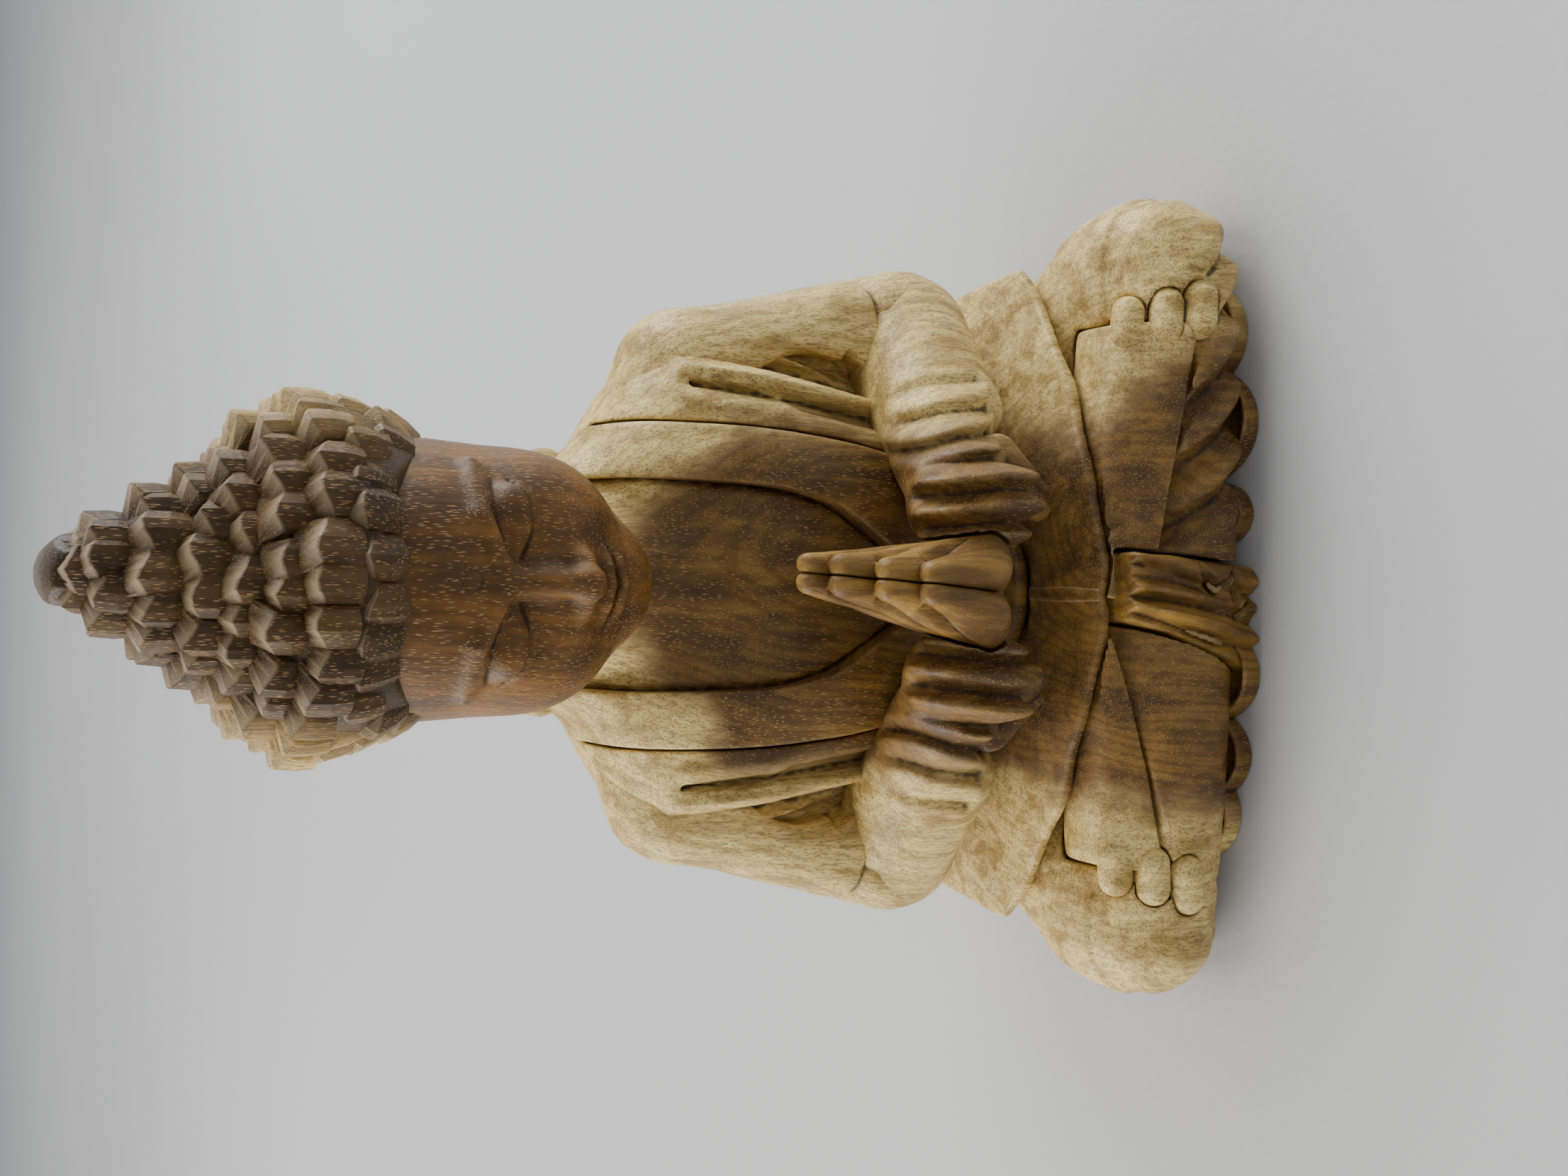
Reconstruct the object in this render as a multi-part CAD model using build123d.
from build123d import *
import math
import os

# Seated praying figure, carved from one block of wood and finished with clear wax.
#
# It stands on its flat underside, with the origin under the middle of it. +Z is up, the figure looks
# along -Y, and its own left hand is at +X. The real carving is one block, so the regions a carver would
# name meet face to face: a region that stands proud keeps its whole shape, and the ones behind it are
# cut back to fit.

os.makedirs("parts", exist_ok=True)

# --- driving dimensions, millimetres -------------------------------------------------------------------
HEIGHT = 300.0  # floor to the tip of the hair
KNEE_SPAN = 230.0  # over both knees
DEPTH = 140.0  # front of the hem to the back of the seat
FRONT = -DEPTH / 2
BACK = DEPTH / 2

# legs and seat
KNEE_RADIUS = 20.0
KNEE = (KNEE_SPAN / 2 - KNEE_RADIUS, FRONT + 24.0, KNEE_RADIUS - 1.0)
HIP = (42.0, 16.0, 24.0)
HIP_RADIUS = 25.0
LAP_TOP = 62.0  # height of the lap cloth at the waist
LAP_DROP = 0.22  # how far it drops for each millimetre out to the knee
LAP_THICK = 5.0
SHIN_RADIUS = 17.0
CALF_RADIUS = 11.5
CUFF_X = 76.0  # where the upper leg ends in its cuff
TOE_RADIUS = 4.6
TOE_PITCH = 8.6
HEM_HEIGHT = 7.0

# trunk, as rings of (height, half width, half depth, centre y)
TRUNK = [
    (36.0, 54.0, 38.0, 14.0),
    (64.0, 47.0, 37.0, 10.0),
    (100.0, 51.0, 38.0, 10.0),
    (134.0, 57.0, 37.0, 10.0),
    (152.0, 58.0, 32.0, 11.0),
    (166.0, 46.0, 27.0, 11.0),
    (178.0, 26.0, 20.0, 11.0),
]
ROBE_THICK = 2.4
LAPEL_THICK = 3.8
LAPEL_INNER = [(25.0, 190.0), (26.0, 165.0), (25.0, 136.0), (12.0, 100.0)]  # (x, z) down one edge
LAPEL_OUTER = [(38.0, 190.0), (39.0, 165.0), (38.0, 136.0), (31.0, 98.0)]
NECK_RADIUS = 22.0

# arms
SHOULDER = (51.0, 10.0, 140.0)
SHOULDER_RADIUS = 22.0
ELBOW = (73.5, 2.0, 77.0)
ELBOW_RADIUS = 19.0
WRIST = (25.0, FRONT + 19.0, 96.0)
WRIST_RADIUS = 14.0

# hands
HAND_FOOT = 90.0  # height of the heel of the hand
FINGERS = [(4.0, 122.0), (8.0, 131.0), (12.5, 140.0), (17.0, 146.0)]  # (set back, height), front to rear
FINGER_HALF = 2.9

# head, built upright about its pivot in the neck and then bowed
BOW = 15.0  # degrees, chin towards the chest
PIVOT = (0, 12.0, 172.0)
SKULL = (0, -6.0, 60.0)
SKULL_RADIUS = 33.5
CHEEKS = (0, -9.0, 37.0)
CHEEK_RADIUS = 27.0
JAW_RADIUS = 21.0

# hair, upright about its own axis
HAIR_Y = -5.0
HAIR = [  # (height, radius) of the mass the curls stand on, tip first
    (294.0, 5.0),
    (286.5, 7.6),
    (279.5, 14.8),
    (273.0, 19.2),
    (266.0, 25.4),
    (259.5, 33.8),
    (253.0, 38.2),
    (246.0, 39.3),
    (239.0, 38.1),
    (231.5, 35.4),
    (224.0, 32.8),
    (216.0, 30.3),
    (207.0, 27.8),
    (200.0, 24.8),
    (192.0, 22.0),
]
HAIRLINE_FRONT = 245.0
HAIRLINE_REAR = 184.0
FULL_ROWS = 7  # rows of curls that run all the way round
CURL_WIDTH = 9.8
CURL_PROUD = 3.2
CURL_CUT = 0.5  # saw cut between neighbours

KEEP_SHARE = 0.15  # a region cut back to less than this is left out

# --- helpers -------------------------------------------------------------------------------------------
def limb(start, end, start_radius, end_radius):
    """A round limb: a cone that runs over into a ball at each end."""
    span = (Vector(*end) - Vector(*start)).length
    lean = math.asin((start_radius - end_radius) / span)
    quarter = math.pi / 2

    def rim(height, radius, angle):
        return (radius * math.cos(angle), height + radius * math.sin(angle))

    foot, top = rim(0, start_radius, lean), rim(span, end_radius, lean)
    outline = [
        ThreePointArc((0, -start_radius), rim(0, start_radius, (lean - quarter) / 2), foot),
        Line(foot, top),
        ThreePointArc(top, rim(span, end_radius, (lean + quarter) / 2), (0, span + end_radius)),
        Line((0, span + end_radius), (0, -start_radius)),
    ]
    body = revolve(Plane.XZ * make_face(outline), axis=Axis.Z)
    return Plane(origin=start, z_dir=Vector(*end) - Vector(*start)) * body


def fit(shape, others):
    """The shape cut back where others already stand, or None where hardly anything of it is left."""
    whole = shape.volume
    for other in others:
        if shape.bounding_box().overlaps(other.bounding_box()):
            solids = (shape - other).solids()
            shape = max(solids, key=lambda solid: solid.volume, default=None)
        if shape is None or shape.volume < KEEP_SHARE * whole:
            return None
    return shape


def sided(side, point):
    """A point of the left side, or its mirror image on the right."""
    return (side * point[0], point[1], point[2])


def half_space(side):
    """Everything on one side of the middle plane."""
    return Pos(side * 2 * KNEE_SPAN, 0, 0) * Box(4 * KNEE_SPAN, 4 * KNEE_SPAN, 4 * HEIGHT)


def above_floor(shape):
    """What is left of a shape above the floor."""
    return shape & Pos(0, 0, HEIGHT) * Box(3 * KNEE_SPAN, 3 * DEPTH, 2 * HEIGHT)


def rings(sections):
    """Straight-sided rings from one ellipse to the next."""
    return loft([Pos(0, y, z) * Ellipse(half_x, half_y) for z, half_x, half_y, y in sections], ruled=True)


def trunk(grown=0.0):
    """The body from the seat to the neck, thickened where asked."""
    return rings([(z, half_x + grown, half_y + grown, y) for z, half_x, half_y, y in TRUNK])


# --- head and hair -------------------------------------------------------------------------------------
def bowed(shape):
    """A head shape, built about the pivot, in its bowed place."""
    return Pos(*PIVOT) * Rot(BOW, 0, 0) * shape


def head():
    """Face and skull, widest at the temples, with a round jaw and a plain nose."""
    front = SKULL[1] - SKULL_RADIUS
    face = limb(CHEEKS, SKULL, CHEEK_RADIUS, SKULL_RADIUS)
    jaw = Pos(0, front + JAW_RADIUS + 1.0, 28.0) * Sphere(JAW_RADIUS)
    nose = limb((0, front - 0.5, 50.0), (0, front - 3.0, 36.0), 2.2, 4.0)
    return bowed(face + jaw + nose)


def ear(side):
    """A long ear: an upper part on the side of the head and a heavy lobe close to the shoulder."""
    upper = limb((31.0 * side, -4.0, 52.0), (30.5 * side, -6.0, 26.0), 5.2, 4.0)
    lobe = limb((30.5 * side, -6.0, 26.0), (31.5 * side, -4.0, 11.0), 4.1, 5.4)
    return bowed(upper + lobe)


def hair_mass():
    """The body of the hair without its curls, cut away below the hairline."""
    outline = [(0, HAIR[0][0]), *[(radius, z) for z, radius in HAIR], (0, HAIR[-1][0])]
    mass = Pos(0, HAIR_Y, 0) * revolve(Plane.XZ * make_face(Polyline(*outline, close=True)), axis=Axis.Z)
    radius = HAIR[FULL_ROWS][1]
    slope = math.degrees(math.atan2(HAIRLINE_FRONT - HAIRLINE_REAR, 2 * radius))
    below = Pos(0, 0, -HEIGHT / 2) * Box(KNEE_SPAN, KNEE_SPAN, HEIGHT)
    return mass - Pos(0, HAIR_Y - radius, HAIRLINE_FRONT) * Rot(-slope, 0, 0) * below


def crown_bud():
    """The rounded bud at the very top of the hair."""
    z, radius = HAIR[0]
    return Pos(0, HAIR_Y, 0) * rings([(z, radius, radius, 0), (z + 2.0, radius, radius, 0), (HEIGHT, 2.0, 2.0, 0)])


def curls():
    """Every curl: wedges that lean out of the mass of hair, row by row, each row turned half a curl."""
    made = []
    for row in range(len(HAIR) - 1):
        (top_z, top_radius), (foot_z, foot_radius) = HAIR[row], HAIR[row + 1]
        tip = (max(top_radius, foot_radius) + CURL_PROUD, top_z - 1.2)
        profile = make_face(Polyline((top_radius, top_z), (foot_radius, foot_z), tip, close=True))
        count = round(2 * math.pi * tip[0] / CURL_WIDTH)
        step = 360.0 / count
        share = step - math.degrees(CURL_CUT / tip[0])
        wedge = revolve(Plane.XZ * profile, axis=Axis.Z, revolution_arc=share)
        face_free = 0.0 if row < FULL_ROWS else 70.0 + 8.0 * (row - FULL_ROWS)
        for number in range(count):
            start = step * (number + row % 2 / 2) - 90.0
            from_face = abs((start + share / 2 + 270.0) % 360.0 - 180.0)
            if 180.0 - from_face >= face_free:
                made.append(Pos(0, HAIR_Y, 0) * Rot(0, 0, start) * wedge)
    return made


# --- clothes -------------------------------------------------------------------------------------------
def front_prism(edge):
    """A prism along Y, in front of the trunk, between an edge and its mirror image."""
    outline = edge + [(0, edge[-1][1] - 22.0)] + [(-x, z) for x, z in reversed(edge)]
    face = make_face([Spline(*outline), Line(outline[-1], outline[0])])
    return extrude(Plane.XZ * face, amount=DEPTH)


def lap_flap(side):
    """The robe's skirt over one thigh, a slab that drops towards the knee."""
    plan = [(0, -55), (40, -54), (76, -38), (92, -20), (84, 26), (30, 40), (0, 40)]
    face = make_face(Polyline(*[(side * x, y) for x, y in plan], close=True))
    slab = extrude(Pos(0, 0, 20.0) * face, amount=60.0)
    drop = math.degrees(math.atan(LAP_DROP))
    layer = Pos(0, 0, LAP_TOP) * Rot(0, side * drop, 0) * Pos(0, 0, -LAP_THICK / 2) * Box(400.0, 400.0, LAP_THICK)
    return slab & layer


def sash():
    """The tied cloth that hangs over the crossed legs and fans out in five folds."""
    folds = [
        limb((3.4 * fold, FRONT + 11.0, 50.0), (6.2 * fold - 4.0, FRONT + 7.0, 4.5), 3.4, 4.8)
        for fold in range(-2, 3)
    ]
    return above_floor(Part() + folds)


def hem():
    """Scallops of the under-robe that show in front of the legs along the floor."""
    lobes = [(-68, 6.0), (-45, 2.0), (-22, 0.0), (1, 0.5), (24, 0.0), (47, 2.0), (69, 6.0)]
    tongues = [Pos(x, FRONT + back + 13.0, HEM_HEIGHT / 2) * Cylinder(13.0, HEM_HEIGHT) for x, back in lobes]
    return Part() + tongues + Pos(0, FRONT + 24.0, HEM_HEIGHT / 2) * Box(136.0, 20.0, HEM_HEIGHT)


# --- limbs ---------------------------------------------------------------------------------------------
def hand(side):
    """One of two hands held palm to palm: the heel, the palm, and four fingers that step up to the rear."""
    shape = limb((side * 7.5, FRONT + 12.0, HAND_FOOT + 8.0), (side * 3.5, FRONT + 13.0, 122.0), 8.0, 4.5)
    for number, (back, top) in enumerate(FINGERS):
        root = (side * 6.0, FRONT + 7.0 + 5.0 * number, HAND_FOOT + 10.0)
        tip = (side * FINGER_HALF, FRONT + back, top - FINGER_HALF)
        shape += limb(root, tip, 5.5, FINGER_HALF)
    return shape & half_space(side)


def toes(side):
    """Three toes that show beyond the cuff of the leg that lies on this knee, one above the other."""
    made = []
    for number in range(3):
        z = 38.0 - TOE_PITCH * number
        start = (side * (CUFF_X - 1.0 + 1.5 * number), FRONT + 20.5 - 3.0 * number, z)
        end = (side * (CUFF_X + 6.0 + 1.5 * number), FRONT + 21.5 - 3.0 * number, z - 1.0)
        made.append(limb(start, end, TOE_RADIUS - 0.4, TOE_RADIUS - 0.4))
    return made


def calf(side):
    """The upper of the two crossed legs as far as its cuff."""
    tube = limb((0, FRONT + 15.0, 44.0), (side * (CUFF_X - 4.0), FRONT + 19.0, 31.0), CALF_RADIUS - 1.5, CALF_RADIUS)
    cuff = Pos(side * (CUFF_X + 20.0), 0, 0) * Box(40.0, 4 * DEPTH, 4 * HEIGHT)
    return (tube & half_space(side)) - cuff


def shin(side):
    """The lower leg along the front, from the knee to the middle."""
    tube = limb(sided(side, KNEE), (0, FRONT + 19.0, SHIN_RADIUS - 1.0), KNEE_RADIUS, SHIN_RADIUS)
    return above_floor(tube & half_space(side))


def thigh(side):
    """The thigh from the hip to the knee."""
    tube = limb(sided(side, HIP), sided(side, (KNEE[0] - 3.0, KNEE[1] + 8.0, KNEE[2])), HIP_RADIUS, KNEE_RADIUS)
    return above_floor(tube & half_space(side))


# --- the carving, from the regions that stand proud to the ones behind them ----------------------------
regions = {"front_sash": [sash()]}
for side, name in ((1, "left"), (-1, "right")):
    shoulder, elbow, wrist = (sided(side, point) for point in (SHOULDER, ELBOW, WRIST))
    regions[f"{name}_hand"] = [hand(side)]
    regions[f"{name}_forearm_sleeve"] = [limb(elbow, wrist, ELBOW_RADIUS, WRIST_RADIUS)]
    regions[f"{name}_upper_sleeve"] = [limb(shoulder, elbow, SHOULDER_RADIUS, ELBOW_RADIUS)]
for side, name in ((1, "left"), (-1, "right")):
    regions[f"{name}_toes"] = toes(side)
    regions[f"{name}_calf"] = [calf(side)]
regions["waist_band"] = [rings([(58.0, 49.0, 40.0, 10.0), (66.0, 50.0, 41.5, 10.0), (74.0, 48.0, 39.5, 10.0)])]
for side, name in ((1, "left"), (-1, "right")):
    regions[f"{name}_lap_flap"] = [lap_flap(side)]
    regions[f"{name}_shin"] = [shin(side)]
    regions[f"{name}_thigh"] = [thigh(side)]
regions["hem"] = [hem()]
regions["head"] = [head()]
regions["left_ear"] = [ear(1)]
regions["right_ear"] = [ear(-1)]
regions["crown_bud"] = [crown_bud()]
regions["hair_mass"] = [hair_mass()]
regions["hair_curls"] = curls()
opening, band = front_prism(LAPEL_INNER), front_prism(LAPEL_OUTER)
lapels = (trunk(LAPEL_THICK) - trunk() - opening) & band
for side, name in ((1, "left"), (-1, "right")):
    regions[f"{name}_lapel"] = [lapels & half_space(side)]
regions["robe"] = [trunk(ROBE_THICK) - trunk() - band]
regions["neck"] = [Solid.make_cone(NECK_RADIUS + 4.0, NECK_RADIUS - 2.0, 34.0, Plane(origin=(0, 10.0, 160.0)))]
regions["chest"] = [trunk()]
regions["seat"] = [rings([(0.0, 78.0, BACK - 12.0, 12.0), (20.0, 76.0, BACK - 12.0, 12.0), (50.0, 54.0, 44.0, 14.0)])]

BESIDE = {"hair_curls": ("head", "left_ear", "right_ear")}  # the only regions a curl can run into
finished = {}
for name, shapes in regions.items():
    others = [finished[other] for other in BESIDE.get(name, finished)]
    fitted = [piece for piece in (fit(shape, others) for shape in shapes) if piece]
    finished[name] = Compound(children=fitted) if len(fitted) > 1 else fitted[0]
    export_step(finished[name], f"parts/{name}.step")
    print(name, len(fitted), round(sum(piece.volume for piece in fitted)), flush=True)
